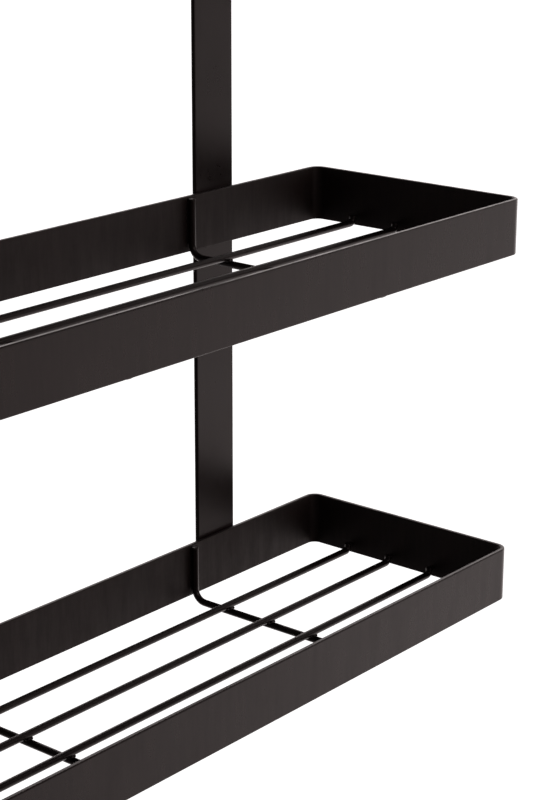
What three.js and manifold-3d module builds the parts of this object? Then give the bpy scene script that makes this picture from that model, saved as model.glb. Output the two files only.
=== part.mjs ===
// Wall-hung bathroom rack: three shallow wire-floored trays welded to two flat-bar uprights.
//
// Units are millimetres and +Z is up. Y = 0 is the wall's face and the rack stands out along -Y, so its
// open side faces -Y. X = 0 is the middle of the rack. Z = 0 is the line through the two points that the
// rack hangs on: the round upper ends of the keyhole slots.

import * as THREE from 'three';
import { mergeVertices } from 'three/addons/utils/BufferGeometryUtils.js';
import Module from 'manifold-3d';

// ---------------------------------------------------------------------------------------------------
// Driving dimensions
// ---------------------------------------------------------------------------------------------------

const TRAY_LENGTH = 472;
const TRAY_DEPTH = 162;
const BAND_HEIGHT = 35; // the flat strip that walls each tray, stood on edge
const BAND_THICKNESS = 3;
const BAND_CORNER_RADIUS = 8.5; // outer radius of the strip's bends
const STRIP_EDGE_ROUNDING = 0.9; // rolled edges of the strip and the flat bar

const TRAY_PITCH = 229;
const TRAY_NAMES = ['top', 'middle', 'bottom'];
const TOP_TRAY_DROP = 28; // from the hanging line down to the top tray's upper edge

const UPRIGHT_WIDTH = 35;
const UPRIGHT_THICKNESS = 3;
const UPRIGHT_OFFSET = 134; // from the middle of the rack to the middle of an upright
const UPRIGHT_ABOVE_HANG_LINE = 14;
const UPRIGHT_SHORT_OF_BAND = 2; // the lower end stops just above the bottom tray's lower edge
const UPRIGHT_CORNER_RADIUS = 3;

const KEYHOLE_SLOT_WIDTH = 5.2;
const KEYHOLE_ENTRY_DIAMETER = 10.5;
const KEYHOLE_DROP = 12; // from the slot's upper end down to the middle of the entry hole

const WIRE_DIAMETER = 4.5;
const LONG_WIRES_PER_TRAY = 4; // number 1 is the front one
const LONG_WIRE_PITCH = 34;
const LONG_WIRE_BACK_GAP = 35.2; // from the back of the tray to the rearmost wire
const LONG_WIRE_RISE = 2; // centre line, from the band's lower edge
const LONG_WIRE_BEND_RADIUS = 3.2; // all bend radii are those of the wire's centre line
const LONG_WIRE_LEG_TOP = 7; // from the band's lower edge
const CROSS_WIRE_OFFSET = 106.5; // from the middle of the rack
const CROSS_WIRE_BEND_RADIUS = 8;
const CROSS_WIRE_REAR_CLEARANCE = 1.2; // its legs stop this far below the band's upper edge
const CROSS_WIRE_FRONT_CLEARANCE = 5;

const PAD_DIAMETER = 22;
const PAD_THICKNESS = 1.7;
const PAD_EDGE_RADIUS = 0.6;
const UPPER_PAD_DROP = 46; // pad centres, from the hanging line
const LOWER_PAD_RISE = 18; // from the upright's lower end

const WELD_GAP = 0.3; // clearance where two welded or stuck pieces meet

const BEND_STEPS = 5;
const SECTION_STEPS_PER_HALF_TURN = 6;

// ---------------------------------------------------------------------------------------------------
// Places that follow from the dimensions
// ---------------------------------------------------------------------------------------------------

const uprightBackY = -(PAD_THICKNESS + WELD_GAP);
const uprightFrontY = uprightBackY - UPRIGHT_THICKNESS;
const trayBackY = uprightFrontY - WELD_GAP;
const trayMiddleY = trayBackY - TRAY_DEPTH / 2;

const bandBottomZ = (index) => -TOP_TRAY_DROP - BAND_HEIGHT - index * TRAY_PITCH;
const uprightTopZ = UPRIGHT_ABOVE_HANG_LINE;
const uprightBottomZ = bandBottomZ(TRAY_NAMES.length - 1) + UPRIGHT_SHORT_OF_BAND;

// A turned-up leg runs along the inner face of the band, one weld gap away from it.
const legInset = BAND_THICKNESS + WELD_GAP + WIRE_DIAMETER / 2;
const crossWireZ = LONG_WIRE_RISE - WIRE_DIAMETER - WELD_GAP; // centre line, from the band's lower edge
const crossFrontLegTopZ = BAND_HEIGHT - CROSS_WIRE_FRONT_CLEARANCE;
const crossRearLegTopZ = BAND_HEIGHT - CROSS_WIRE_REAR_CLEARANCE;
const longWireY = (number) => trayBackY - LONG_WIRE_BACK_GAP - (LONG_WIRES_PER_TRAY - number) * LONG_WIRE_PITCH;

// ---------------------------------------------------------------------------------------------------
// Materials
// ---------------------------------------------------------------------------------------------------

const powderCoat = (colour) => new THREE.MeshStandardMaterial({ color: colour, roughness: 0.5, metalness: 0.1 });
const BAND_COLOUR = 0x2b2829;
const WIRE_COLOUR = 0x242122;
const UPRIGHT_COLOUR = 0x272425;
const padRubber = () => new THREE.MeshStandardMaterial({ color: 0x1b1b1c, roughness: 0.85, metalness: 0 });

// ---------------------------------------------------------------------------------------------------
// Shapes
// ---------------------------------------------------------------------------------------------------

// Traces a rectangle with round corners, centred on the origin, into a Shape or a Path.
function roundedRectangle(path, width, height, radius) {
  const x = width / 2 - radius;
  const y = height / 2 - radius;
  path.moveTo(x, -height / 2);
  path.absarc(x, -y, radius, -Math.PI / 2, 0);
  path.absarc(x, y, radius, 0, Math.PI / 2);
  path.absarc(-x, y, radius, Math.PI / 2, Math.PI);
  path.absarc(-x, -y, radius, Math.PI, 1.5 * Math.PI);
  path.closePath();
  return path;
}

// Extrudes an outline along +Z to a given thickness with all its edges rounded, middle at Z = 0.
function extrudeRounded(shape, thickness, rounding, curveSegments) {
  const geometry = new THREE.ExtrudeGeometry(shape, {
    depth: thickness - 2 * rounding,
    curveSegments,
    bevelEnabled: true,
    bevelThickness: rounding,
    bevelSize: rounding,
    bevelOffset: -rounding,
    bevelSegments: 2,
  });
  return geometry.translate(0, 0, rounding - thickness / 2);
}

// The centre line of a wire with both ends turned up at right angles: x runs along the wire and z up.
// Its stations are even in the curve's parameter, so the straight stretches take one step each.
class TurnedUpWireCurve extends THREE.Curve {
  constructor(span, startLegHeight, endLegHeight, bendRadius, bendSteps) {
    super();
    this.stations = [new THREE.Vector3(-span / 2, 0, startLegHeight)];
    for (const side of [-1, 1]) {
      for (let step = 0; step <= bendSteps; step++) {
        const turn = (step / bendSteps) * (Math.PI / 2);
        const angle = side < 0 ? turn : Math.PI / 2 - turn;
        const x = side * (span / 2 - bendRadius * (1 - Math.cos(angle)));
        this.stations.push(new THREE.Vector3(x, 0, bendRadius * (1 - Math.sin(angle))));
      }
    }
    this.stations.push(new THREE.Vector3(span / 2, 0, endLegHeight));
    this.steps = this.stations.length - 1;
  }

  getPoint(t, target = new THREE.Vector3()) {
    const place = Math.min(Math.max(t, 0), 1) * this.steps;
    const index = Math.min(Math.floor(place), this.steps - 1);
    return target.lerpVectors(this.stations[index], this.stations[index + 1], place - index);
  }

  getPointAt(t, target) {
    return this.getPoint(t, target);
  }

  // Halfway between the directions of the two straight steps that meet at a station.
  getTangentAt(t, target = new THREE.Vector3()) {
    const station = Math.round(t * this.steps);
    const before = this.stations[Math.max(station - 1, 0)];
    const here = this.stations[station];
    const after = this.stations[Math.min(station + 1, this.steps)];
    const arriving = here.clone().sub(before).normalize();
    const leaving = after.clone().sub(here).normalize();
    return target.copy(arriving.add(leaving)).normalize();
  }
}

function wireGeometry(span, startLegHeight, endLegHeight, bendRadius) {
  const section = new THREE.Shape().absarc(0, 0, WIRE_DIAMETER / 2, 0, 2 * Math.PI);
  const path = new TurnedUpWireCurve(span, startLegHeight, endLegHeight, bendRadius, BEND_STEPS);
  return new THREE.ExtrudeGeometry(section, {
    steps: path.steps,
    curveSegments: SECTION_STEPS_PER_HALF_TURN,
    extrudePath: path,
  });
}

// ---------------------------------------------------------------------------------------------------
// Boolean cut
// ---------------------------------------------------------------------------------------------------

const wasm = await Module();
wasm.setup();

function toSolid(geometry) {
  const bare = geometry.clone();
  bare.deleteAttribute('normal');
  bare.deleteAttribute('uv');
  const merged = mergeVertices(bare, 1e-4);
  return new wasm.Manifold(new wasm.Mesh({
    numProp: 3,
    vertProperties: new Float32Array(merged.attributes.position.array),
    triVerts: new Uint32Array(merged.index.array),
  }));
}

function toGeometry(solid) {
  const mesh = solid.getMesh();
  const geometry = new THREE.BufferGeometry();
  geometry.setAttribute('position', new THREE.BufferAttribute(new Float32Array(mesh.vertProperties), 3));
  geometry.setIndex(new THREE.BufferAttribute(new Uint32Array(mesh.triVerts), 1));
  geometry.computeVertexNormals();
  return geometry;
}

// ---------------------------------------------------------------------------------------------------
// Pieces
// ---------------------------------------------------------------------------------------------------

const rack = new THREE.Group();

function addPiece(parent, name, geometry, material) {
  const mesh = new THREE.Mesh(geometry, material);
  mesh.name = name;
  parent.add(mesh);
  return mesh;
}

// One strip bent into a closed ring: its outline lies flat and is raised to the band's height.
function bandGeometry() {
  const outline = roundedRectangle(new THREE.Shape(), TRAY_LENGTH, TRAY_DEPTH, BAND_CORNER_RADIUS);
  const innerLength = TRAY_LENGTH - 2 * BAND_THICKNESS;
  const innerDepth = TRAY_DEPTH - 2 * BAND_THICKNESS;
  const innerRadius = BAND_CORNER_RADIUS - BAND_THICKNESS;
  outline.holes.push(roundedRectangle(new THREE.Path(), innerLength, innerDepth, innerRadius));
  return extrudeRounded(outline, BAND_HEIGHT, STRIP_EDGE_ROUNDING, 6);
}

// A vertical flat bar, drawn in its own plane and stood up with its rear face towards the wall.
function uprightGeometry() {
  const height = uprightTopZ - uprightBottomZ;
  const outline = roundedRectangle(new THREE.Shape(), UPRIGHT_WIDTH, height, UPRIGHT_CORNER_RADIUS);
  const bar = extrudeRounded(outline, UPRIGHT_THICKNESS, STRIP_EDGE_ROUNDING, 4);
  bar.translate(0, (uprightTopZ + uprightBottomZ) / 2, 0);

  const slot = new THREE.Shape();
  const slotRadius = KEYHOLE_SLOT_WIDTH / 2;
  const entryRadius = KEYHOLE_ENTRY_DIAMETER / 2;
  const meeting = Math.acos(slotRadius / entryRadius); // where the slot's sides run into the entry hole
  slot.absarc(0, 0, slotRadius, 0, Math.PI);
  slot.absarc(0, -KEYHOLE_DROP, entryRadius, Math.PI - meeting, 2 * Math.PI + meeting);
  slot.closePath();
  const cutter = new THREE.ExtrudeGeometry(slot, {
    depth: 3 * UPRIGHT_THICKNESS,
    curveSegments: 12,
    bevelEnabled: false,
  });
  cutter.translate(0, 0, -1.5 * UPRIGHT_THICKNESS);

  return toGeometry(toSolid(bar).subtract(toSolid(cutter))).rotateX(Math.PI / 2);
}

// A round self-adhesive pad, turned about the axis that points at the wall.
function padGeometry() {
  const radius = PAD_DIAMETER / 2;
  const profile = [new THREE.Vector2(0, 0), new THREE.Vector2(radius, 0)];
  const edgeSteps = 3;
  for (let step = 0; step <= edgeSteps; step++) {
    const angle = (step / edgeSteps) * (Math.PI / 2);
    const inset = PAD_EDGE_RADIUS * (1 - Math.cos(angle));
    profile.push(new THREE.Vector2(radius - inset, PAD_THICKNESS - PAD_EDGE_RADIUS * (1 - Math.sin(angle))));
  }
  profile.push(new THREE.Vector2(0, PAD_THICKNESS));
  return new THREE.LatheGeometry(profile, 24);
}

function addUpright(side, sideName) {
  const x = side * UPRIGHT_OFFSET;
  const name = `${sideName}_upright`;
  const bar = addPiece(rack, name, uprightGeometry(), powderCoat(UPRIGHT_COLOUR));
  bar.position.set(x, (uprightBackY + uprightFrontY) / 2, 0);

  const padHeights = { upper: -UPPER_PAD_DROP, lower: uprightBottomZ + LOWER_PAD_RISE };
  for (const [level, z] of Object.entries(padHeights)) {
    const pad = addPiece(rack, `${name}_${level}_wall_pad`, padGeometry(), padRubber());
    pad.position.set(x, -PAD_THICKNESS, z);
  }
}

function addTray(name, index) {
  const tray = new THREE.Group();
  tray.position.set(0, trayMiddleY, bandBottomZ(index));
  rack.add(tray);

  const band = addPiece(tray, `${name}_tray_band`, bandGeometry(), powderCoat(BAND_COLOUR));
  band.position.z = BAND_HEIGHT / 2;

  for (let number = 1; number <= LONG_WIRES_PER_TRAY; number++) {
    const span = TRAY_LENGTH - 2 * legInset;
    const legHeight = LONG_WIRE_LEG_TOP - LONG_WIRE_RISE;
    const geometry = wireGeometry(span, legHeight, legHeight, LONG_WIRE_BEND_RADIUS);
    const wire = addPiece(tray, `${name}_tray_long_wire_${number}`, geometry, powderCoat(WIRE_COLOUR));
    wire.position.set(0, longWireY(number) - trayMiddleY, LONG_WIRE_RISE);
  }

  for (const [sideName, side] of [['left', -1], ['right', 1]]) {
    const span = TRAY_DEPTH - 2 * legInset;
    const frontLegHeight = crossFrontLegTopZ - crossWireZ;
    const rearLegHeight = crossRearLegTopZ - crossWireZ;
    const geometry = wireGeometry(span, frontLegHeight, rearLegHeight, CROSS_WIRE_BEND_RADIUS);
    const wire = addPiece(tray, `${name}_tray_${sideName}_cross_wire`, geometry, powderCoat(WIRE_COLOUR));
    wire.rotation.z = Math.PI / 2;
    wire.position.set(side * CROSS_WIRE_OFFSET, 0, crossWireZ);
  }
}

addUpright(-1, 'left');
addUpright(1, 'right');
TRAY_NAMES.forEach(addTray);

export default rack;
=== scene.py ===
"""Looks for a wall-hung bathroom rack: trays of bent flat strip with welded rod floors, on two uprights.

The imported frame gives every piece's place and outer size. Each piece is made again there as a smooth surface
worked out with numpy, with the fine shape that the plain solids leave out: rolled strip edges, sheared rod
ends, welds at the crossings and fillet welds along the turned-up legs. Units are metres.
"""

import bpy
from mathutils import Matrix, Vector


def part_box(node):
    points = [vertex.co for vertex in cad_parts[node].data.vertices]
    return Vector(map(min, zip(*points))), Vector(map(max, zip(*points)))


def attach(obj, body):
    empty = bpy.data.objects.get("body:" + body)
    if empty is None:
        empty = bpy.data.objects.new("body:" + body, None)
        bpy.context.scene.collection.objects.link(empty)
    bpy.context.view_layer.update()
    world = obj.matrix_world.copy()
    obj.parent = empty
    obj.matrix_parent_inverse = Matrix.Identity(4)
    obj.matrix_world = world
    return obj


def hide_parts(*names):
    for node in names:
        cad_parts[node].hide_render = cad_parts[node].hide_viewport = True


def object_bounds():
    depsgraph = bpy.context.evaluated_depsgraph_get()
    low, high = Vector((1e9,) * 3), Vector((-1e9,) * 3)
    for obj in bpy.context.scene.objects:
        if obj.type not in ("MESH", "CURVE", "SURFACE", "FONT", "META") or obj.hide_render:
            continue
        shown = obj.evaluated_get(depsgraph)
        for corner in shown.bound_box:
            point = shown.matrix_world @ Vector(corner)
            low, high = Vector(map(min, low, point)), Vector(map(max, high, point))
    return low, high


bl_info = {
    "name": "Wall Rack",
    "version": (1, 0, 0),
    "blender": (4, 5, 0),
    "location": "View3D > Sidebar > Wall Rack",
    "description": "Builds a wall-hung rack of strip-walled, rod-floored trays around its packed frame",
    "category": "Add Mesh",
}

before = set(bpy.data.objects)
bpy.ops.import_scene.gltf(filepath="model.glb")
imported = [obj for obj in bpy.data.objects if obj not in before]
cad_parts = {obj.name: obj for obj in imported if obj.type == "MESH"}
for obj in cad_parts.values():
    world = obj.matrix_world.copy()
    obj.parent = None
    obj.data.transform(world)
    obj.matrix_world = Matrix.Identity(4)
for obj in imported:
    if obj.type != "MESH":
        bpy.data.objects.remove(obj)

import math

import bpy
import numpy as np
from bpy.props import FloatProperty, FloatVectorProperty, IntProperty, PointerProperty
from mathutils import Matrix, Vector

MM = 0.001
BODY = "root"
TRAYS = ("top", "middle", "bottom")
SIDES = ("left", "right")
LONG_WIRE_NUMBERS = (1, 2, 3, 4)
CAD_BOX = [list(corner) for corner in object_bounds()]

# The keyhole of an upright, about the middle of the slot's round top.
KEYHOLE_SLOT_RADIUS = 2.6 * MM
KEYHOLE_ENTRY_RADIUS = 5.25 * MM
KEYHOLE_DROP = 12.0 * MM
BAR_CORNER_RADIUS = 3.0 * MM
BAR_OUTLINE_POINTS = 144
COLLAR_BELOW_KEYHOLE = 20.0 * MM
COLLAR_INSET = 3.0 * MM

# The stitch welds between a tray and an upright.
STITCH_LENGTH = 10.0 * MM
STITCH_INSET = 3.0 * MM

# The fillet welds beside the turned-up legs.
LEG_WELD_START = 0.3 * MM
LEG_WELD_BELOW_TIP = 0.8 * MM

# The camera's aim, from the middle of the rack and the wall, and from the middle tray's lower edge.
AIM_PLACE = (44.4 * MM, -121.9 * MM)
AIM_BELOW_TRAY = 58.4 * MM
SENSOR_WIDTH_MM = 36.0

# The powder coat: how much darker and lighter its mottling is than its colour, how much lighter a streak is,
# how far the roughness swings, how much smoother a streak is, and the tint of what it reflects.
MOTTLE_DARK = 0.82
MOTTLE_LIGHT = 1.35
STREAK_LIGHT = 1.9
GLOSS_SWING = 0.04
STREAK_GLOSS = 0.18
REFLECTION_TINT = (1.0, 0.88, 0.87, 1.0)

# The studio's lights, as parts of a direction of length one: each pair is where a light ends and is full, or
# for a TOP where it is full and ends.
WALL_SIDEWAYS = (0.03, 0.98)
WALL_TOP = (0.42, 0.60)
FLOOR_SIDEWAYS = (0.295, 1.0)
FLOOR_TOP = (-0.28, -0.10)
FRONT_AHEAD = (0.82, 0.96)
ROOM_COLOUR = (1.0, 0.93, 0.92, 1.0)
BACKDROP_COLOUR = (1.0, 1.0, 1.0, 1.0)
BACKDROP_LEVEL = 1.05


# ---------------------------------------------------------------------------------------------------------
# Settings
# ---------------------------------------------------------------------------------------------------------


class RackSteelSettings(bpy.types.PropertyGroup):
    """Shape of the strip, the flat bar and the rods."""

    strip_thickness: FloatProperty(
        name="Strip thickness", description="Thickness of the strip that walls each tray",
        default=3.0 * MM, min=1.0 * MM, max=6.0 * MM, unit="LENGTH")
    corner_radius: FloatProperty(
        name="Corner radius", description="Outer radius of the strip's four bends",
        default=8.5 * MM, min=4.0 * MM, max=20.0 * MM, unit="LENGTH")
    edge_rounding: FloatProperty(
        name="Edge rounding", description="Radius of the rolled edges of strip and bar",
        default=0.7 * MM, min=0.2 * MM, max=1.4 * MM, unit="LENGTH")
    strip_wander: FloatProperty(
        name="Strip wander", description="How far the strip's long faces stray from flat after bending",
        default=0.22 * MM, min=0.0, max=1.0 * MM, unit="LENGTH")
    long_bend_radius: FloatProperty(
        name="Long wire bend", description="Centre-line radius where a long wire turns up at its ends",
        default=3.2 * MM, min=2.5 * MM, max=12.0 * MM, unit="LENGTH")
    cross_bend_radius: FloatProperty(
        name="Cross wire bend", description="Centre-line radius where a cross wire turns up at its ends",
        default=8.0 * MM, min=2.5 * MM, max=12.0 * MM, unit="LENGTH")
    front_leg_drop: FloatProperty(
        name="Front leg drop", description="How much lower a cross wire's front leg ends than its rear leg",
        default=3.8 * MM, min=0.0, max=20.0 * MM, unit="LENGTH")
    wire_wander: FloatProperty(
        name="Wire wander", description="How far a rod strays from straight between its welds",
        default=0.12 * MM, min=0.0, max=0.6 * MM, unit="LENGTH")


class RackWeldSettings(bpy.types.PropertyGroup):
    """Size of the welds."""

    leg_fillet: FloatProperty(
        name="Leg fillet", description="Width of the fillet beside each turned-up leg",
        default=0.5 * MM, min=0.2 * MM, max=3.0 * MM, unit="LENGTH")
    crossing_reach: FloatProperty(
        name="Crossing weld reach",
        description="How far a crossing weld reaches out from under the upper rod",
        default=2.9 * MM, min=1.0 * MM, max=5.0 * MM, unit="LENGTH")
    upright_fillet: FloatProperty(
        name="Upright fillet", description="Leg length of the fillet between an upright and a tray",
        default=2.2 * MM, min=0.5 * MM, max=3.0 * MM, unit="LENGTH")


class RackFinishSettings(bpy.types.PropertyGroup):
    """Colours and gloss of the powder coat and the rubber."""

    strip_colour: FloatVectorProperty(
        name="Strip colour", description="Powder coat on the tray strips",
        default=(0.0100, 0.0046, 0.0040), min=0.0, max=1.0, subtype="COLOR", size=3)
    bar_colour: FloatVectorProperty(
        name="Upright colour", description="Powder coat on the uprights",
        default=(0.0095, 0.0046, 0.0042), min=0.0, max=1.0, subtype="COLOR", size=3)
    wire_colour: FloatVectorProperty(
        name="Wire colour", description="Powder coat on the rods and welds",
        default=(0.0100, 0.0050, 0.0044), min=0.0, max=1.0, subtype="COLOR", size=3)
    rubber_colour: FloatVectorProperty(
        name="Rubber colour", description="Wall pads", default=(0.012, 0.012, 0.0125),
        min=0.0, max=1.0, subtype="COLOR", size=3)
    coat_roughness: FloatProperty(
        name="Coat roughness", description="Roughness of the satin powder coat",
        default=0.34, min=0.05, max=1.0, subtype="FACTOR")
    dry_inside: FloatProperty(
        name="Dry inside", description="Added roughness where less powder reaches, inside the trays",
        default=0.25, min=0.0, max=0.5, subtype="FACTOR")


class RackStageSettings(bpy.types.PropertyGroup):
    """Camera, floor and lights."""

    view_azimuth: FloatProperty(
        name="View azimuth", description="Turn of the view from straight on, towards the rack's right",
        default=math.radians(50.365), unit="ROTATION")
    view_drop: FloatProperty(
        name="View drop", description="How far the view looks down", default=math.radians(17.351),
        unit="ROTATION")
    view_roll: FloatProperty(
        name="View roll", description="Turn of the camera about its own axis",
        default=math.radians(-0.109), unit="ROTATION")
    view_distance: FloatProperty(
        name="View distance", description="From the camera to the point it aims at",
        default=1.2, min=0.2, unit="LENGTH")
    lens: FloatProperty(
        name="Lens", description="Focal length on a 36 mm sensor, in millimetres", default=94.33, min=10.0)
    floor_drop: FloatProperty(
        name="Floor drop", description="From the rack's lowest point down to the floor",
        default=0.95, min=0.0, unit="LENGTH")
    wall_level: FloatProperty(
        name="Wall level", description="Brightness of the studio's white walls", default=1.8, min=0.0)
    floor_level: FloatProperty(
        name="Floor level", description="Brightness of the studio's white floor", default=1.2, min=0.0)
    front_level: FloatProperty(
        name="Front level", description="Brightness of the soft light straight in front", default=0.75,
        min=0.0)
    dark_level: FloatProperty(
        name="Dark level", description="Brightness of the rest of the studio", default=0.03, min=0.0)
    seed: IntProperty(
        name="Seed", description="Starts the random draws for wander and weld ripple", default=7, min=0)


SETTINGS = {
    "rack_steel": RackSteelSettings,
    "rack_welds": RackWeldSettings,
    "rack_finish": RackFinishSettings,
    "rack_stage": RackStageSettings,
}


# ---------------------------------------------------------------------------------------------------------
# Surfaces
# ---------------------------------------------------------------------------------------------------------


def closed_grid(points, loop_rows=False, end_caps=False):
    """Turns a grid of points shaped (rows, columns, 3) into a closed surface.

    Each row is a ring, so its last point joins its first. With loop_rows the last row joins the first row,
    and with end_caps one flat face closes each end. Gives the points, every face's corners in one list and
    the number of corners of each face. The corners run the other way round where the volume is negative.
    """
    rows, columns, _ = points.shape
    row = np.arange(rows if loop_rows else rows - 1)[:, None]
    column = np.arange(columns)[None, :]
    next_row = (row + 1) % rows
    next_column = (column + 1) % columns
    quads = np.stack(np.broadcast_arrays(
        row * columns + column, row * columns + next_column,
        next_row * columns + next_column, next_row * columns + column), axis=-1)
    corners = [quads.reshape(-1)]
    sizes = [np.full(quads.shape[0] * quads.shape[1], 4)]
    if end_caps:
        ring = np.arange(columns)
        corners += [ring[::-1], (rows - 1) * columns + ring]
        sizes.append(np.array([columns, columns]))
    corners = np.concatenate(corners)
    sizes = np.concatenate(sizes)
    if signed_volume(points, loop_rows, end_caps) < 0:
        corners = corners[::-1]
        sizes = sizes[::-1]
    return points.reshape(-1, 3), corners, sizes


def signed_volume(points, loop_rows, end_caps):
    """Six times the volume inside the grid: the triple products of its quads' corners, summed, with each end
    closed by a fan about its middle. It is negative where the faces point inwards."""
    if loop_rows:
        points = np.concatenate([points, points[:1]])
    points = points - points.mean(axis=(0, 1))
    ringed = np.concatenate([points, points[:, :1]], axis=1)
    a, b = ringed[:-1, :-1], ringed[:-1, 1:]
    c, d = ringed[1:, 1:], ringed[1:, :-1]
    total = np.sum(np.cross(a, b) * c) + np.sum(np.cross(a, c) * d)
    if end_caps:
        for ring, turn in ((ringed[0], -1), (ringed[-1], 1)):
            middle = ring[:-1].mean(axis=0)
            total += turn * np.sum(np.cross(ring[:-1], ring[1:]) @ middle)
    return total


def add_piece(name, surfaces, material, slot, *nodes, masks=None):
    """Makes one smooth-shaded object from closed surfaces, gives it its material and ties it to the frame.

    masks are named values of the points, from 0 to 1, that the material reads.
    """
    counts = [len(points) for points, _, _ in surfaces]
    starts = np.cumsum([0] + counts[:-1])
    points = np.concatenate([surface[0] for surface in surfaces])
    corners = np.concatenate([surface[1] + start for surface, start in zip(surfaces, starts)])
    sizes = np.concatenate([surface[2] for surface in surfaces])
    mesh = bpy.data.meshes.new(name)
    mesh.vertices.add(len(points))
    mesh.vertices.foreach_set("co", points.astype(np.float32).reshape(-1))
    mesh.loops.add(len(corners))
    mesh.loops.foreach_set("vertex_index", corners.astype(np.int32))
    mesh.polygons.add(len(sizes))
    mesh.polygons.foreach_set("loop_start", np.concatenate([[0], np.cumsum(sizes)[:-1]]).astype(np.int32))
    mesh.update(calc_edges=True)
    if mesh.validate():
        raise RuntimeError(f"the surface of {name} has broken faces")
    mesh.shade_smooth()
    for label, values in (masks or {}).items():
        mesh.attributes.new(label, "FLOAT", "POINT").data.foreach_set("value", values.astype(np.float32))
    mesh.materials.append(material)
    piece = bpy.data.objects.new(name, mesh)
    bpy.context.scene.collection.objects.link(piece)
    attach(piece, BODY)
    if nodes:
        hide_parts(*nodes)
    return piece


def node_box(node):
    """A node's lowest and highest corners as arrays."""
    low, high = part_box(node)
    return np.array(low), np.array(high)


def rounded_ring(width, height, radius, bend_steps, straight_steps):
    """A rectangle with round corners, as points and outward normals, each shaped (count, 2).

    A corner is its middle plus the radius times the direction of an angle that runs through a quarter turn.
    The straight stretch after it is cut into even steps and keeps the normal that the corner ended with.
    straight_steps gives the cuts of the upright sides and of the level sides.
    """
    points = []
    normals = []
    quarter = np.linspace(0.0, math.pi / 2, bend_steps + 1)
    middle = np.array([width / 2 - radius, height / 2 - radius])
    for corner in range(4):
        angle = quarter + (corner - 1) * math.pi / 2
        direction = np.stack([np.cos(angle), np.sin(angle)], axis=-1)
        signs = np.array([1 if corner in (0, 1) else -1, 1 if corner in (1, 2) else -1])
        arc = middle * signs + radius * direction
        next_signs = np.array([1 if corner in (3, 0) else -1, 1 if corner in (0, 1) else -1])
        next_start = middle * next_signs + radius * direction[-1]
        share = np.asarray(straight_steps[corner % 2])[:, None]
        points += [arc, arc[-1] + (next_start - arc[-1]) * share]
        normals += [direction, np.repeat(direction[-1:], len(share), axis=0)]
    return np.concatenate(points), np.concatenate(normals)


def inner_cuts(length, step, guard=0.0):
    """Shares along a stretch at even steps, with one more cut a guard's length from each end."""
    cuts = np.linspace(0.0, 1.0, max(int(round(length / step)), 1) + 1)[1:-1]
    if guard:
        cuts = np.concatenate([[guard / length], cuts, [1.0 - guard / length]])
    return cuts


def smooth_wander(distance, length, height, draw, waves=3):
    """A smooth stray that is zero at both ends: a sum of sine waves with random shares, times the height."""
    share = distance / length
    shares = draw.uniform(-1.0, 1.0, waves)
    total = np.zeros_like(share)
    for wave in range(waves):
        total = total + shares[wave] * np.sin(math.pi * (wave + 1) * share) / (wave + 1)
    return height * total


def strip_ring(low, high, steel, draw):
    """A strip on edge, bent into a closed ring: the strip's round-edged section carried along a rectangle
    with round corners.

    A point is the path's point plus the section's depth along the path's outward normal, at the section's
    height. The long faces stray from flat by a smooth wander that dies out at the corners, and the butt weld
    in the middle of the rear face stands out as a low bell curve. Also gives which points are on the inside.
    """
    size = high - low
    middle = (low + high) / 2
    thickness = steel.strip_thickness
    bend = steel.corner_radius - thickness / 2
    length, depth = size[0] - thickness, size[1] - thickness
    guard = 1.0 * MM
    level = inner_cuts(length - 2 * bend, 9.0 * MM, guard)
    upright = inner_cuts(depth - 2 * bend, 9.0 * MM, guard)
    path, normal = rounded_ring(length, depth, bend, 14, (upright, level))
    edge = min(steel.edge_rounding, thickness / 2 - 0.05 * MM)
    section_cuts = inner_cuts(size[2] - 2 * edge, 6.0 * MM, 0.5 * MM)
    section, _ = rounded_ring(thickness, size[2], edge, 6, (section_cuts, [0.5]))

    along = np.clip(path[:, 0] / (length / 2 - bend), -1.0, 1.0)
    across = np.clip(path[:, 1] / (depth / 2 - bend), -1.0, 1.0)
    facing = np.stack([normal[:, 1] < -0.99, normal[:, 1] > 0.99, np.abs(normal[:, 0]) > 0.99])
    strays = np.stack([smooth_wander((along + 1) / 2, 1.0, steel.strip_wander, draw),
                       smooth_wander((along + 1) / 2, 1.0, steel.strip_wander, draw),
                       smooth_wander((across + 1) / 2, 1.0, steel.strip_wander / 2, draw)])
    stray = np.sum(np.where(facing, strays, 0.0), axis=0)
    bell = np.exp(-(path[:, 0] / (1.8 * MM)) ** 2)
    weld = np.where(normal[:, 1] > 0.99, 0.14 * MM * bell, 0.0)

    out = section[None, :, 0] * (1 + 2 * weld[:, None] / thickness) + stray[:, None]
    plan = path[:, None, :] + normal[:, None, :] * out[:, :, None]
    rise = np.broadcast_to(section[None, :, 1], out.shape)
    points = np.concatenate([plan, rise[:, :, None]], axis=-1)
    inside = np.broadcast_to(section[None, :, 0] < edge - thickness / 2 + 0.05 * MM, out.shape)
    return points + middle, inside.reshape(-1)


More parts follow.
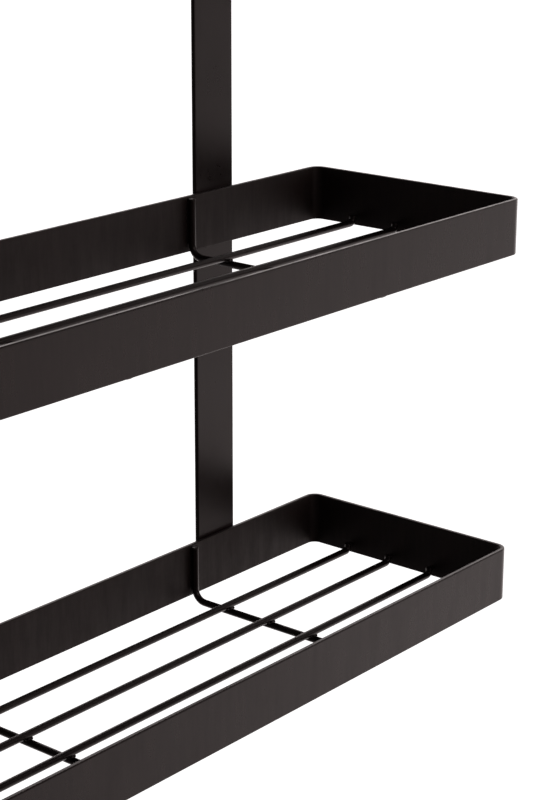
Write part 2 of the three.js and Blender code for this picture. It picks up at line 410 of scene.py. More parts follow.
def turned_up_line(span, legs, bend):
    """The centre line of a rod with both ends turned up: points and tangents, shaped (count, 2), x then z.

    From the left tip it comes down, turns through a quarter circle, runs level and turns up again. legs are
    the heights of the left and right tips. Points close together at each tip let the sheared end be rounded.
    """
    tip = np.array([0.0, 0.12, 0.5, 1.3]) * MM
    quarter = np.linspace(0.0, math.pi / 2, 11)
    arc = np.stack([-span / 2 + bend * (1 - np.cos(quarter)), bend * (1 - np.sin(quarter))], axis=-1)
    cuts = inner_cuts(span - 2 * bend, 7.0 * MM)
    level = np.stack([-span / 2 + bend + (span - 2 * bend) * cuts, np.zeros_like(cuts)], axis=-1)
    ends = []
    for leg in legs:
        down_z = np.concatenate([leg - tip, np.linspace(leg - tip[-1], bend, 5)[1:-1]])
        down = np.stack([np.full_like(down_z, -span / 2), down_z], axis=-1)
        ends.append(np.concatenate([down, arc]))
    points = np.concatenate([ends[0], level, ends[1][::-1] * np.array([-1.0, 1.0])])
    tangents = np.gradient(points, axis=0)
    return points, tangents / np.linalg.norm(tangents, axis=1, keepdims=True)


def rod(line, tangent, radius, sides, sway):
    """A round rod along a line in the x-z plane: the line's point plus the radius times a direction that
    turns round the tangent, from the in-plane normal through +y. The radius falls off at the two sheared
    tips. sway moves each station sideways and up, shaped (count, 2)."""
    normal = np.stack([-tangent[:, 1], tangent[:, 0]], axis=-1)
    turn = np.linspace(0.0, 2 * math.pi, sides, endpoint=False)
    fall = np.ones(len(line))
    fall[:3] = (0.80, 0.95, 1.0)
    fall[-3:] = (1.0, 0.95, 0.80)
    reach = radius * fall[:, None]
    x = line[:, None, 0] + reach * np.cos(turn) * normal[:, None, 0]
    y = sway[:, None, 0] + reach * np.sin(turn)
    z = line[:, None, 1] + sway[:, None, 1] + reach * np.cos(turn) * normal[:, None, 1]
    return np.stack([x, y, z], axis=-1)


def turned_up_rod(low, high, along_x, bend, wander, draw, first_leg_drop=0.0):
    """A rod that fills its node's box: level along x or y, with both ends turned up. The leg at the lower x
    or y ends lower than the other by first_leg_drop."""
    size = high - low
    diameter = size[1] if along_x else size[0]
    reach = size[0] if along_x else size[1]
    leg = size[2] - diameter / 2
    line, tangent = turned_up_line(reach - diameter, (leg - first_leg_drop, leg), bend)
    inner = np.clip(line[:, 0] / (reach / 2 - bend) / 2 + 0.5, 0.0, 1.0)
    sway = np.stack([smooth_wander(inner, 1.0, wander, draw, 4) for _ in range(2)], axis=-1)
    points = rod(line, tangent, diameter / 2, 28, sway)
    if not along_x:
        points = np.stack([-points[..., 1], points[..., 0], points[..., 2]], axis=-1)
    middle = (low + high) / 2
    return points + np.array([middle[0], middle[1], low[2] + diameter / 2])


def leg_fillet(foot, out, side, radius, gap, height, width, draw):
    """A fillet weld that joins a turned-up leg to the strip behind it, swept up the leg.

    Its section is a quadratic curve from a toe on the strip to the rod's flank, square to the strip at the
    flank and level with it at the toe, then a chord inside the rod and the same curve mirrored. The toe's
    reach ripples along the weld, and the weld sinks into the rod at both ends. foot is the point on the strip
    under the leg, out points into the tray and side runs along the strip.
    """
    rows = max(int(height / (0.5 * MM)), 12)
    share = np.linspace(0.0, 1.0, rows)
    end = np.clip(np.minimum(share, 1 - share) * height / (2.5 * MM), 0.0, 1.0)
    taper = np.sin(end * math.pi / 2)
    ripple = 0.08 * np.sin(share * height / (1.6 * MM) * 2 * math.pi)
    size = taper * (1.0 + ripple + smooth_wander(share, 1.0, 0.30, draw, 5))
    flank = math.radians(38.0)
    flank_side = radius * math.cos(flank)
    flank_out = (radius + gap - radius * math.sin(flank)) * (0.35 + 0.65 * taper)
    curve = np.linspace(0.0, 1.0, 8)
    across = flank_side + (width * size)[:, None] * (1 - curve) ** 2
    off = flank_out[:, None] * curve ** 2
    across = np.concatenate([across[:, :1], across], axis=1)
    off = np.concatenate([np.full((rows, 1), -0.2 * MM), off], axis=1)
    across = np.concatenate([across, -across[:, ::-1]], axis=1)
    off = np.concatenate([off, off[:, ::-1]], axis=1)
    rise = (share * height)[:, None, None] * np.array([0.0, 0.0, 1.0])
    return foot + across[..., None] * side + off[..., None] * out + rise


def crossing_bead(middle, reach, half_height, draw):
    """The metal squeezed out where two rods were pressed together hot: a flattened ball with four lobes.

    A point's reach over the ground is the bead's reach times the cosine of a latitude, larger along the
    diagonals between the rods by the square of the sine of twice the heading. Its height is the half height
    times the sine of the latitude.
    """
    latitude = np.linspace(-math.pi / 2, math.pi / 2, 11)[1:-1]
    heading = np.linspace(0.0, 2 * math.pi, 28, endpoint=False)
    lobes = 0.74 + 0.26 * np.sin(2 * heading) ** 2
    lobes = lobes * (1 + 0.10 * np.sin(heading + draw.uniform(0.0, 2 * math.pi)))
    plan = reach * lobes[None, :] * np.cos(latitude)[:, None]
    x = plan * np.cos(heading)
    y = plan * np.sin(heading)
    z = np.broadcast_to(half_height * np.sin(latitude)[:, None], x.shape)
    return np.stack([x, y, z], axis=-1) + middle


def stitch_weld(corner, along_strip, length, leg, draw):
    """A short fillet weld in the corner between a strip's rear face and an upright's side.

    Its section runs from a toe on the strip over a slightly bulged face to a toe on the upright's side, and
    closes inside the steel. Half-round ripples follow one another up the weld and both ends close down.
    along_strip is +1 or -1 for the side of the upright that the weld is on.
    """
    rows = max(int(length / (0.3 * MM)), 12)
    share = np.linspace(0.0, 1.0, rows)
    end = np.clip(np.minimum(share, 1 - share) * length / (1.6 * MM), 0.0, 1.0)
    ripple = 1 + 0.09 * np.abs(np.sin(share * length / (1.3 * MM) * math.pi + draw.uniform(0, math.pi)))
    size = leg * np.sqrt(end * (2 - end)) * ripple * (1 + smooth_wander(share, 1.0, 0.12, draw))
    size = np.maximum(size, 0.02 * MM)
    turn = np.linspace(0.0, math.pi / 2, 9)
    bulge = 0.80 + 0.04 * np.sin(2 * turn)
    away = np.concatenate([bulge * np.cos(turn) ** 1.2, [-0.35, -0.35]])
    back = np.concatenate([bulge * np.sin(turn) ** 1.2, [0.6, -0.25]])
    x = along_strip * size[:, None] * away
    y = size[:, None] * back
    z = np.broadcast_to((share * length)[:, None], x.shape)
    return np.stack([x, y, z], axis=-1) + corner


def mirrored(half):
    """A closed outline from its right half, which runs from the top middle to the bottom middle."""
    return np.concatenate([half, half[-2:0:-1] * np.array([-1.0, 1.0])])


def keyhole_outline(slot_radius, entry_radius, drop, grow, count):
    """A keyhole's outline about the middle of its round top, as points shaped (count, 2).

    Its right half is the slot's quarter arc, the straight side and the arc of the entry hole, taken at even
    steps of length. grow moves it outwards.
    """
    slot = slot_radius + grow
    entry = entry_radius + grow
    meeting = math.asin(slot / entry)
    arc_top = np.linspace(0.0, math.pi / 2, 24)
    arc_low = np.linspace(meeting, math.pi, 72)
    x = np.concatenate([slot * np.sin(arc_top), entry * np.sin(arc_low)])
    z = np.concatenate([slot * np.cos(arc_top), -drop + entry * np.cos(arc_low)])
    distance = np.concatenate([[0.0], np.cumsum(np.hypot(np.diff(x), np.diff(z)))])
    even = np.linspace(0.0, distance[-1], count // 2 + 1)
    return mirrored(np.stack([np.interp(even, distance, x), np.interp(even, distance, z)], axis=-1))


def bar_outline(width, top, bottom, radius, inset, count):
    """A flat bar's outline with round corners, as points shaped (count, 2), drawn in by the inset.

    Its right half takes a ninth of its steps along the top, two ninths round each corner and the rest down
    the side and along the bottom.
    """
    ninth = count // 18
    half_width = width / 2 - inset
    bend = max(radius - inset, 0.3 * MM)
    high, low = top - inset, bottom + inset
    level = np.linspace(0.0, half_width - bend, ninth, endpoint=False)
    turn = np.linspace(0.0, math.pi / 2, 2 * ninth)
    side = np.linspace(high - bend, low + bend, count // 2 + 1 - 6 * ninth + 2)[1:-1]
    x = np.concatenate([level, half_width - bend + bend * np.sin(turn), np.full(len(side), half_width),
                        half_width - bend + bend * np.cos(turn), level[::-1]])
    z = np.concatenate([np.full(ninth, high), high - bend + bend * np.cos(turn), side,
                        low + bend - bend * np.sin(turn), np.full(ninth, low)])
    return mirrored(np.stack([x, z], axis=-1))


def keyed_bar(low, high, edge):
    """A flat bar with a keyhole: one closed ring of outlines, shaped (rows, columns, 3).

    The rows go from the keyhole's wall over its rounded rim, across the front face to the bar's rounded edge,
    over it, and back across the rear face. A row is an outline at one depth, either of the keyhole grown by a
    few tenths or of the bar drawn in by the rounding. Between them a collar goes round the bar's top end just
    below the keyhole, so that no face folds over the hole.
    """
    count = BAR_OUTLINE_POINTS
    width = high[0] - low[0]
    thickness = high[1] - low[1]
    rim = 0.35 * MM
    rim_turn = np.linspace(0.0, math.pi / 2, 4)
    rim_rows = np.stack([rim * (1 - np.cos(rim_turn)), thickness / 2 - rim * (1 - np.sin(rim_turn))], axis=-1)
    hole_rows = [tuple(row) for row in rim_rows] + [(0.9 * MM, thickness / 2)]
    edge_turn = np.linspace(0.0, math.pi / 2, 7)
    inset = edge * (1 - np.sin(edge_turn))
    deep = thickness / 2 - edge * (1 - np.cos(edge_turn))
    bar_rows = [(edge + 0.6 * MM, thickness / 2)] + list(zip(inset, deep))
    keyhole = (KEYHOLE_SLOT_RADIUS, KEYHOLE_ENTRY_RADIUS, KEYHOLE_DROP)
    hole = [(keyhole_outline(*keyhole, grow, count), depth) for grow, depth in hole_rows]
    collar_bottom = -(KEYHOLE_DROP + COLLAR_BELOW_KEYHOLE)
    collar_shape = bar_outline(width, high[2], collar_bottom, BAR_CORNER_RADIUS, COLLAR_INSET, count)
    collar = (collar_shape, thickness / 2)
    outer = [(bar_outline(width, high[2], low[2], BAR_CORNER_RADIUS, drawn, count), depth)
             for drawn, depth in bar_rows]
    front = hole + [collar] + outer
    back = [(outline, -depth) for outline, depth in reversed(front)]
    middle_x = (low[0] + high[0]) / 2
    middle_y = (low[1] + high[1]) / 2
    rows = []
    for outline, depth in front + back:
        row_y = np.full(count, middle_y - depth)
        rows.append(np.stack([middle_x + outline[:, 0], row_y, outline[:, 1]], axis=-1))
    return np.stack(rows)


def pad_disc(low, high):
    """A round rubber pad: a profile turned about the axis that points at the wall.

    From the middle of the wall side outwards it is flat with three shallow rings, rounds over at its rim and
    comes back in behind. The ends of the profile close on small flat middles.
    """
    middle = (low + high) / 2
    radius = (high[0] - low[0]) / 2
    thickness = high[1] - low[1]
    face = np.linspace(0.04, 0.9, 60)
    rings = 0.12 * MM * (0.5 - 0.5 * np.cos(face / 0.9 * 2 * math.pi * 4)) * (face > 0.2)
    turn = np.linspace(0.0, math.pi / 2, 6)
    round_over = 0.5 * MM
    rim_r = radius - round_over * (1 - np.sin(turn))
    rim_y = round_over * (1 - np.cos(turn))
    back_r = [radius, radius - 0.2 * MM, radius * 0.5, radius * 0.04]
    profile_r = np.concatenate([face * radius, rim_r, back_r])
    profile_y = np.concatenate([rings, rim_y, [thickness - 0.2 * MM, thickness, thickness, thickness]])
    heading = np.linspace(0.0, 2 * math.pi, 48, endpoint=False)
    x = middle[0] + profile_r[:, None] * np.cos(heading)
    z = middle[2] + profile_r[:, None] * np.sin(heading)
    y = np.broadcast_to((high[1] - profile_y)[:, None], x.shape)
    return np.stack([x, y, z], axis=-1)


# ---------------------------------------------------------------------------------------------------------
# Shader groups
# ---------------------------------------------------------------------------------------------------------


def shader_group(name, inputs, outputs):
    """A new shader node group with its named sockets: each is a name, a socket type and a default."""
    group = bpy.data.node_groups.new(name, "ShaderNodeTree")
    for label, kind, default in inputs:
        socket = group.interface.new_socket(name=label, in_out="INPUT", socket_type=kind)
        if default is not None:
            socket.default_value = default
    for label, kind in outputs:
        group.interface.new_socket(name=label, in_out="OUTPUT", socket_type=kind)
    return group, group.nodes.new("NodeGroupInput"), group.nodes.new("NodeGroupOutput")


class Wiring:
    """Adds nodes to one tree and links them as it goes."""

    def __init__(self, tree):
        self.tree = tree

    def add(self, kind, settings=None, **links):
        """A node of a kind: settings are its own properties, and links are input names with what feeds them,
        a socket or a plain value. An underscore in an input's name stands for a space."""
        node = self.tree.nodes.new(kind)
        for key, value in (settings or {}).items():
            setattr(node, key, value)
        for key, value in links.items():
            self.feed(node.inputs[key.replace("_", " ")], value)
        return node

    def feed(self, socket, value):
        """Links a socket to an input, or sets the input's own value."""
        if isinstance(value, bpy.types.NodeSocket):
            self.tree.links.new(value, socket)
        else:
            socket.default_value = value

    def math(self, operation, first, second=0.0, clamp=False):
        """One step of arithmetic on two values, clamped to 0..1 if asked."""
        node = self.add("ShaderNodeMath", {"operation": operation, "use_clamp": clamp})
        self.feed(node.inputs[0], first)
        self.feed(node.inputs[1], second)
        return node.outputs[0]

    def noise(self, vector, scale, detail=2.0, roughness=0.5):
        """Smooth noise from 0 to 1 with the given number of features to a metre."""
        node = self.add("ShaderNodeTexNoise", Vector=vector, Scale=scale, Detail=detail, Roughness=roughness)
        return node.outputs["Fac"]

    def ramp(self, value, low, high, to_low=0.0, to_high=1.0):
        """Maps low..high to to_low..to_high, held at the ends."""
        node = self.add("ShaderNodeMapRange", Value=value, From_Min=low, From_Max=high, To_Min=to_low,
                        To_Max=to_high)
        return node.outputs["Result"]

    def mix(self, share, first, second):
        """The first colour where the share is 0, the second where it is 1."""
        node = self.add("ShaderNodeMix", {"data_type": "RGBA"})
        self.feed(node.inputs["Factor"], share)
        self.feed(node.inputs[6], first)
        self.feed(node.inputs[7], second)
        return node.outputs[2]


def powder_grain_group():
    """Powder coat: a fine orange peel over slow swells, a mottled colour and a patchy gloss."""
    group, entry, out = shader_group(
        "powder_grain",
        [("Vector", "NodeSocketVector", None), ("Colour", "NodeSocketColor", (0.01, 0.01, 0.01, 1.0)),
         ("Light Colour", "NodeSocketColor", (0.02, 0.02, 0.02, 1.0)),
         ("Roughness", "NodeSocketFloat", 0.4), ("Roughness Swing", "NodeSocketFloat", 0.06)],
        [("Colour", "NodeSocketColor"), ("Roughness", "NodeSocketFloat"), ("Height", "NodeSocketFloat")])
    wiring = Wiring(group)
    vector = entry.outputs["Vector"]
    peel = wiring.noise(vector, 1500.0, 2.0, 0.55)
    swell = wiring.noise(vector, 320.0, 2.0, 0.5)
    cloud = wiring.noise(vector, 28.0, 3.0, 0.55)
    speck = wiring.noise(vector, 2600.0, 1.0, 0.4)
    mottle = wiring.math("ADD", wiring.ramp(cloud, 0.32, 0.70, 0.0, 0.6),
                         wiring.ramp(peel, 0.40, 0.72, 0.0, 0.4))
    light = wiring.math("MAXIMUM", mottle, wiring.ramp(speck, 0.70, 0.78, 0.0, 1.0))
    colour = wiring.mix(light, entry.outputs["Colour"], entry.outputs["Light Colour"])
    patches = wiring.math("ADD", wiring.math("MULTIPLY", cloud, 0.7), wiring.math("MULTIPLY", swell, 0.3))
    swing = wiring.ramp(patches, 0.35, 0.65, -1.0, 1.0)
    roughness = wiring.math("ADD", entry.outputs["Roughness"],
                            wiring.math("MULTIPLY", swing, entry.outputs["Roughness Swing"]), clamp=True)
    height = wiring.math("ADD", wiring.math("MULTIPLY", peel, 0.35), wiring.math("MULTIPLY", swell, 0.65))
    wiring.feed(out.inputs["Colour"], colour)
    wiring.feed(out.inputs["Roughness"], roughness)
    wiring.feed(out.inputs["Height"], height)
    return group


def rolled_streaks_group():
    """Faint streaks seen through the coat, left by rolling or drawing: noise stretched one way."""
    group, entry, out = shader_group(
        "rolled_streaks",
        [("Vector", "NodeSocketVector", None), ("Stretch", "NodeSocketVector", (1.0, 1.0, 1.0)),
         ("Amount", "NodeSocketFloat", 0.3)],
        [("Mask", "NodeSocketFloat"), ("Height", "NodeSocketFloat")])
    wiring = Wiring(group)
    multiply = wiring.add("ShaderNodeVectorMath", {"operation": "MULTIPLY"})
    wiring.feed(multiply.inputs[0], entry.outputs["Vector"])
    wiring.feed(multiply.inputs[1], entry.outputs["Stretch"])
    drawn = multiply.outputs[0]
    coarse = wiring.noise(drawn, 160.0, 2.0, 0.5)
    fine = wiring.noise(drawn, 620.0, 2.0, 0.6)
    both = wiring.math("ADD", wiring.math("MULTIPLY", coarse, 0.6), wiring.math("MULTIPLY", fine, 0.4))
    mask = wiring.math("MULTIPLY", wiring.ramp(both, 0.38, 0.64), entry.outputs["Amount"])
    wiring.feed(out.inputs["Mask"], mask)
    wiring.feed(out.inputs["Height"], both)
    return group


def settled_dust_group():
    """Dust that settles where a surface faces up: the upward share of the normal times a patchy noise."""
    group, entry, out = shader_group(
        "settled_dust",
        [("Vector", "NodeSocketVector", None), ("Colour", "NodeSocketColor", (0.01, 0.01, 0.01, 1.0)),
         ("Dust Colour", "NodeSocketColor", (0.25, 0.23, 0.21, 1.0)), ("Roughness", "NodeSocketFloat", 0.4),
         ("Amount", "NodeSocketFloat", 0.05)],
        [("Colour", "NodeSocketColor"), ("Roughness", "NodeSocketFloat")])
    wiring = Wiring(group)
    geometry = wiring.add("ShaderNodeNewGeometry")
    split = wiring.add("ShaderNodeSeparateXYZ", Vector=geometry.outputs["Normal"])
    upward = wiring.ramp(split.outputs["Z"], 0.25, 0.95)
    patches = wiring.ramp(wiring.noise(entry.outputs["Vector"], 90.0, 4.0, 0.62), 0.35, 0.75)
    speckle = wiring.noise(entry.outputs["Vector"], 900.0, 2.0, 0.5)
    specks = wiring.ramp(speckle, 0.60, 0.72, 0.25, 1.0)
    share = wiring.math("MULTIPLY", wiring.math("MULTIPLY", upward, patches), specks)
    share = wiring.math("MULTIPLY", share, entry.outputs["Amount"], clamp=True)
    colour = wiring.mix(share, entry.outputs["Colour"], entry.outputs["Dust Colour"])
    dulling = wiring.math("MULTIPLY", share, 0.8)
    roughness = wiring.math("ADD", entry.outputs["Roughness"], dulling, clamp=True)
    wiring.feed(out.inputs["Colour"], colour)
    wiring.feed(out.inputs["Roughness"], roughness)
    return group


# ---------------------------------------------------------------------------------------------------------
# Materials
# ---------------------------------------------------------------------------------------------------------


def group_node(wiring, group_name):
    """Places a shader group that has been built already."""
    return wiring.add("ShaderNodeGroup", {"node_tree": bpy.data.node_groups[group_name]})


def new_material(name):
    """A material with its surface shader, and the wiring to feed it."""
    material = bpy.data.materials.new(name)
    material.use_nodes = True
    surface = material.node_tree.nodes["Principled BSDF"]
    return material, surface, Wiring(material.node_tree)


def opaque(colour, brighten=1.0):
    """A colour with full alpha, each channel times brighten and held to 1."""
    return tuple(min(channel * brighten, 1.0) for channel in colour) + (1.0,)


def powder_coat_material(name, colour, roughness, stretch, streak, dust, bump, dry_inside=0.0):
    """Satin black powder coat over rolled or drawn steel. Inside a tray less powder reaches the steel, so the
    coat is drier there: dry_inside is what the mask named inside adds to the roughness."""
    material, surface, wiring = new_material(name)
    place = wiring.add("ShaderNodeTexCoord").outputs["Object"]
    grain = group_node(wiring, "powder_grain")
    wiring.feed(grain.inputs["Vector"], place)
    wiring.feed(grain.inputs["Colour"], opaque(colour, MOTTLE_DARK))
    wiring.feed(grain.inputs["Light Colour"], opaque(colour, MOTTLE_LIGHT))
    wiring.feed(grain.inputs["Roughness"], roughness)
    wiring.feed(grain.inputs["Roughness Swing"], GLOSS_SWING)
    streaks = group_node(wiring, "rolled_streaks")
    wiring.feed(streaks.inputs["Vector"], place)
    wiring.feed(streaks.inputs["Stretch"], stretch)
    wiring.feed(streaks.inputs["Amount"], streak)
    streaked = wiring.mix(streaks.outputs["Mask"], grain.outputs["Colour"], opaque(colour, STREAK_LIGHT))
    rubbed = wiring.math("SUBTRACT", grain.outputs["Roughness"],
                         wiring.math("MULTIPLY", streaks.outputs["Mask"], STREAK_GLOSS), clamp=True)
    if dry_inside:
        mask = wiring.add("ShaderNodeAttribute", {"attribute_name": "inside"}).outputs["Fac"]
        rubbed = wiring.math("ADD", rubbed, wiring.math("MULTIPLY", mask, dry_inside), clamp=True)
    settled = group_node(wiring, "settled_dust")
    wiring.feed(settled.inputs["Vector"], place)
    wiring.feed(settled.inputs["Colour"], streaked)
    wiring.feed(settled.inputs["Roughness"], rubbed)
    wiring.feed(settled.inputs["Amount"], dust)
    height = wiring.math("ADD", wiring.math("MULTIPLY", grain.outputs["Height"], 0.8),
                         wiring.math("MULTIPLY", streaks.outputs["Height"], 0.2))
    relief = wiring.add("ShaderNodeBump", Strength=bump, Distance=0.06 * MM, Height=height)
    wiring.feed(surface.inputs["Base Color"], settled.outputs["Colour"])
    wiring.feed(surface.inputs["Roughness"], settled.outputs["Roughness"])
    wiring.feed(surface.inputs["Normal"], relief.outputs["Normal"])
    surface.inputs["Metallic"].default_value = 0.0
    surface.inputs["IOR"].default_value = 1.5
    surface.inputs["Specular Tint"].default_value = REFLECTION_TINT
    return material


def rubber_material(name, colour):
    """Moulded rubber: matt, finely pitted, with a dusting of grey."""
    material, surface, wiring = new_material(name)
    place = wiring.add("ShaderNodeTexCoord").outputs["Object"]
    pits = wiring.noise(place, 1300.0, 3.0, 0.6)
    cloud = wiring.noise(place, 160.0, 3.0, 0.6)
    bloom = wiring.ramp(cloud, 0.42, 0.70, 0.0, 0.55)
    wiring.feed(surface.inputs["Base Color"], wiring.mix(bloom, opaque(colour), opaque(colour, 2.6)))
    wiring.feed(surface.inputs["Roughness"], wiring.ramp(cloud, 0.3, 0.7, 0.74, 0.90))
    relief = wiring.add("ShaderNodeBump", Strength=0.6, Distance=0.05 * MM, Height=pits)
    wiring.feed(surface.inputs["Normal"], relief.outputs["Normal"])
    surface.inputs["Specular IOR Level"].default_value = 0.35
    return material


MATERIAL_MAKERS = {
    "strip_coat": lambda finish: powder_coat_material(
        "strip_coat", finish.strip_colour, finish.coat_roughness + 0.02, (1.0, 1.0, 0.12), 0.55, 0.10, 0.35,
        finish.dry_inside),
    "upright_coat": lambda finish: powder_coat_material(
        "upright_coat", finish.bar_colour, finish.coat_roughness - 0.02, (1.0, 1.0, 0.05), 0.10, 0.06, 0.25),
    "wire_coat": lambda finish: powder_coat_material(
        "wire_coat", finish.wire_colour, finish.coat_roughness + 0.02, (0.08, 0.08, 1.0), 0.20, 0.10, 0.25),
    "weld_coat": lambda finish: powder_coat_material(
        "weld_coat", finish.wire_colour, finish.coat_roughness - 0.04, (1.0, 1.0, 1.0), 0.10, 0.04, 0.55),
    "pad_rubber": lambda finish: rubber_material("pad_rubber", finish.rubber_colour),
}


def coat(name):
    """A material by name, made on first use."""
    if "powder_grain" not in bpy.data.node_groups:
        powder_grain_group()
        rolled_streaks_group()
        settled_dust_group()
    if name not in bpy.data.materials:
        MATERIAL_MAKERS[name](bpy.context.scene.rack_finish)
    return bpy.data.materials[name]


# ---------------------------------------------------------------------------------------------------------
# Operators
# ---------------------------------------------------------------------------------------------------------


def random_draw(scene, part):
    """Seeded random numbers for one group of pieces, so that each group looks the same in every run."""
    return np.random.default_rng(scene.rack_stage.seed * 100 + part)


class RACK_OT_tray_strips(bpy.types.Operator):
    """Bend the strip that walls each tray"""

    bl_idname = "rack.tray_strips"
    bl_label = "Tray Strips"
    bl_options = {"REGISTER", "UNDO"}

    def execute(self, context):
        draw = random_draw(context.scene, 1)
        for tray in TRAYS:
            node = f"{tray}_tray_band"
            points, inside = strip_ring(*node_box(node), context.scene.rack_steel, draw)
            surface = closed_grid(points, loop_rows=True)
            add_piece(f"{tray}_strip", [surface], coat("strip_coat"), "band_powder_coat", node,
                      masks={"inside": inside})
        return {"FINISHED"}


class RACK_OT_long_wires(bpy.types.Operator):
    """Lay the long floor wires of each tray"""

    bl_idname = "rack.long_wires"
    bl_label = "Long Wires"
    bl_options = {"REGISTER", "UNDO"}

    def execute(self, context):
        steel = context.scene.rack_steel
        draw = random_draw(context.scene, 2)
        for tray in TRAYS:
            for number in LONG_WIRE_NUMBERS:
                node = f"{tray}_tray_long_wire_{number}"
                points = turned_up_rod(*node_box(node), True, steel.long_bend_radius, steel.wire_wander,
                                       draw)
                surface = closed_grid(points, end_caps=True)
                add_piece(f"{tray}_long_wire_{number}", [surface], coat("wire_coat"), "wire_powder_coat",
                          node)
        return {"FINISHED"}


class RACK_OT_cross_wires(bpy.types.Operator):
    """Lay the cross wires under each tray's long wires"""

    bl_idname = "rack.cross_wires"
    bl_label = "Cross Wires"
    bl_options = {"REGISTER", "UNDO"}

    def execute(self, context):
        steel = context.scene.rack_steel
        draw = random_draw(context.scene, 3)
        for tray in TRAYS:
            for side in SIDES:
                node = f"{tray}_tray_{side}_cross_wire"
                points = turned_up_rod(*node_box(node), False, steel.cross_bend_radius, steel.wire_wander,
                                       draw, steel.front_leg_drop)
                surface = closed_grid(points, end_caps=True)
                add_piece(f"{tray}_{side}_cross_wire", [surface], coat("wire_coat"), "wire_powder_coat",
                          node)
        return {"FINISHED"}


class RACK_OT_leg_welds(bpy.types.Operator):
    """Weld the turned-up ends of the wires to the strips"""

    bl_idname = "rack.leg_welds"
    bl_label = "Leg Welds"
    bl_options = {"REGISTER", "UNDO"}

    def execute(self, context):
        steel = context.scene.rack_steel
        draw = random_draw(context.scene, 4)
        for tray in TRAYS:
            strip_low, strip_high = node_box(f"{tray}_tray_band")
            wires = [(f"{tray}_tray_long_wire_{number}", 0, steel.long_bend_radius)
                     for number in LONG_WIRE_NUMBERS]
            wires += [(f"{tray}_tray_{side}_cross_wire", 1, steel.cross_bend_radius) for side in SIDES]
            surfaces = [self.leg_surface(context, strip_low, strip_high, *wire, end, draw)
                        for wire in wires for end in (-1, 1)]
            add_piece(f"{tray}_leg_welds", surfaces, coat("weld_coat"), "wire_powder_coat")
        return {"FINISHED"}

    def leg_surface(self, context, strip_low, strip_high, node, axis, bend, end, draw):
        """The weld of one leg: axis is the wire's own, and end is -1 for the leg at its lower end, else 1."""
        low, high = node_box(node)
        diameter = (high - low)[1 - axis]
        thickness = context.scene.rack_steel.strip_thickness
        out = np.zeros(3)
        out[axis] = -end
        side = np.zeros(3)
        side[1 - axis] = 1.0
        wall = strip_high[axis] - thickness if end > 0 else strip_low[axis] + thickness
        gap = abs(wall - (high[axis] if end > 0 else low[axis]))
        foot = (low + high) / 2
        foot[axis] = wall
        foot[2] = max(low[2] + diameter / 2 + bend, strip_low[2]) + LEG_WELD_START
        is_short_leg = axis == 1 and end < 0
        top = high[2] - (context.scene.rack_steel.front_leg_drop if is_short_leg else 0.0)
        height = top - foot[2] - LEG_WELD_BELOW_TIP
        width = context.scene.rack_welds.leg_fillet
        points = leg_fillet(foot, out, side, diameter / 2, gap, height, width, draw)
        return closed_grid(points, end_caps=True)


class RACK_OT_crossing_welds(bpy.types.Operator):
    """Weld the wires to each other where they cross"""

    bl_idname = "rack.crossing_welds"
    bl_label = "Crossing Welds"
    bl_options = {"REGISTER", "UNDO"}

    def execute(self, context):
        reach = context.scene.rack_welds.crossing_reach
        draw = random_draw(context.scene, 5)
        for tray in TRAYS:
            surfaces = []
            for side in SIDES:
                cross_low, cross_high = node_box(f"{tray}_tray_{side}_cross_wire")
                radius = (cross_high[0] - cross_low[0]) / 2
                for number in LONG_WIRE_NUMBERS:
                    long_low, long_high = node_box(f"{tray}_tray_long_wire_{number}")
                    top_of_cross = cross_low[2] + 2 * radius
                    middle = np.array([(cross_low[0] + cross_high[0]) / 2, (long_low[1] + long_high[1]) / 2,
                                       (top_of_cross + long_low[2]) / 2])
                    bead = crossing_bead(middle, reach, 0.62 * radius, draw)
                    surfaces.append(closed_grid(bead, end_caps=True))
            add_piece(f"{tray}_crossing_welds", surfaces, coat("weld_coat"), "wire_powder_coat")
        return {"FINISHED"}


class RACK_OT_uprights(bpy.types.Operator):
    """Cut the two keyholed uprights"""

    bl_idname = "rack.uprights"
    bl_label = "Uprights"
    bl_options = {"REGISTER", "UNDO"}

    def execute(self, context):
        edge = min(context.scene.rack_steel.edge_rounding, 1.0 * MM)
        for side in SIDES:
            node = f"{side}_upright"
            surface = closed_grid(keyed_bar(*node_box(node), edge), loop_rows=True)
            add_piece(f"{side}_upright_bar", [surface], coat("upright_coat"), "upright_powder_coat", node)
        return {"FINISHED"}


class RACK_OT_upright_welds(bpy.types.Operator):
    """Weld the trays to the uprights"""

    bl_idname = "rack.upright_welds"
    bl_label = "Upright Welds"
    bl_options = {"REGISTER", "UNDO"}

    def execute(self, context):
        leg = context.scene.rack_welds.upright_fillet
        draw = random_draw(context.scene, 6)
        for side in SIDES:
            low, high = node_box(f"{side}_upright")
            for tray in TRAYS:
                strip_low, strip_high = node_box(f"{tray}_tray_band")
                surfaces = []
                for edge_x, along in ((low[0], -1), (high[0], 1)):
                    for start in (strip_low[2] + STITCH_INSET, strip_high[2] - STITCH_INSET - STITCH_LENGTH):
                        corner = np.array([edge_x, strip_high[1], start])
                        weld = stitch_weld(corner, along, STITCH_LENGTH, leg, draw)
                        surfaces.append(closed_grid(weld, end_caps=True))
                add_piece(f"{side}_upright_{tray}_welds", surfaces, coat("weld_coat"), "upright_powder_coat")
        return {"FINISHED"}


class RACK_OT_wall_pads(bpy.types.Operator):
    """Mould the rubber pads between the uprights and the wall"""

    bl_idname = "rack.wall_pads"
    bl_label = "Wall Pads"
    bl_options = {"REGISTER", "UNDO"}

    def execute(self, context):
        for side in SIDES:
            for level in ("upper", "lower"):
                node = f"{side}_upright_{level}_wall_pad"
                surface = closed_grid(pad_disc(*node_box(node)), end_caps=True)
                add_piece(f"{side}_{level}_pad", [surface], coat("pad_rubber"), "pad_rubber", node)
        return {"FINISHED"}


